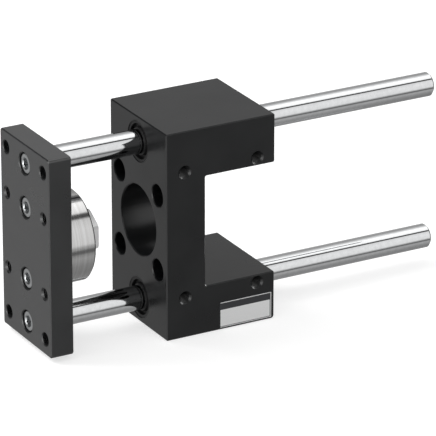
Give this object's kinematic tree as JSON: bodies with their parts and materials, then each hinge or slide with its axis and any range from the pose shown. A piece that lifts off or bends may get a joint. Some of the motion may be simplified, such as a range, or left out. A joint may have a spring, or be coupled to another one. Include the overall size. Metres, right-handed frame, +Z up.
{
  "type": "cylinder guide unit",
  "caption": "Guide unit for a pneumatic cylinder: a U-shaped block with guide rods in plain bushes, a front plate and a floating coupling for the piston rod.",
  "frame": {"origin": "centre of the cylinder's seat on the block, on the axis of the pilot bore", "axes": "+X along the guide rods towards the cylinder, +Y across the block, +Z up along the line of the two rods"},
  "size_m": [0.221, 0.056, 0.105],
  "materials": {
    "anodised_block": "black anodised, satin",
    "anodised_plate": "black anodised, satin",
    "sintered_bronze": "sintered, oiled",
    "felt": "oiled wool felt",
    "nitrile_rubber": "moulded, matt black",
    "chromed_rod": "hard chromed and ground",
    "zinc_screw": "zinc plated, clear",
    "turned_steel": "turned and nickel plated",
    "hardened_steel": "hardened and ground"
  },
  "bodies": {
    "block": {"guide_body": "anodised_block", "upper_front_bush": "sintered_bronze", "upper_rear_bush": "sintered_bronze", "lower_front_bush": "sintered_bronze", "lower_rear_bush": "sintered_bronze", "upper_oil_felt": "felt", "lower_oil_felt": "felt", "upper_front_wiper": "nitrile_rubber", "upper_rear_wiper": "nitrile_rubber", "lower_front_wiper": "nitrile_rubber", "lower_rear_wiper": "nitrile_rubber"},
    "carriage": {"front_plate": "anodised_plate", "upper_guide_rod": "chromed_rod", "lower_guide_rod": "chromed_rod", "rod_screws": "zinc_screw", "coupling_screws": "zinc_screw", "coupling_housing": "turned_steel"},
    "sideways_float": {"front_thrust_washer": "hardened_steel"},
    "upright_float": {"rear_thrust_washer": "hardened_steel"},
    "stud": {"coupling_stud": "turned_steel"}
  },
  "joints": [
    {"name": "stroke", "type": "slide", "parent": "block", "child": "carriage", "axis": [-1, 0, 0], "range_m": [0, 0.1]},
    {"name": "float_sideways", "type": "slide", "parent": "carriage", "child": "sideways_float", "axis": [0, 1, 0], "range_m": [-0.00035, 0.00035]},
    {"name": "float_upright", "type": "slide", "parent": "sideways_float", "child": "upright_float", "axis": [0, 0, 1], "range_m": [-0.00035, 0.00035]},
    {"name": "stud_turn", "type": "hinge", "parent": "upright_float", "child": "stud", "pos_m": [-0.0575, 0, 0], "axis": [1, 0, 0], "continuous": true}
  ]
}
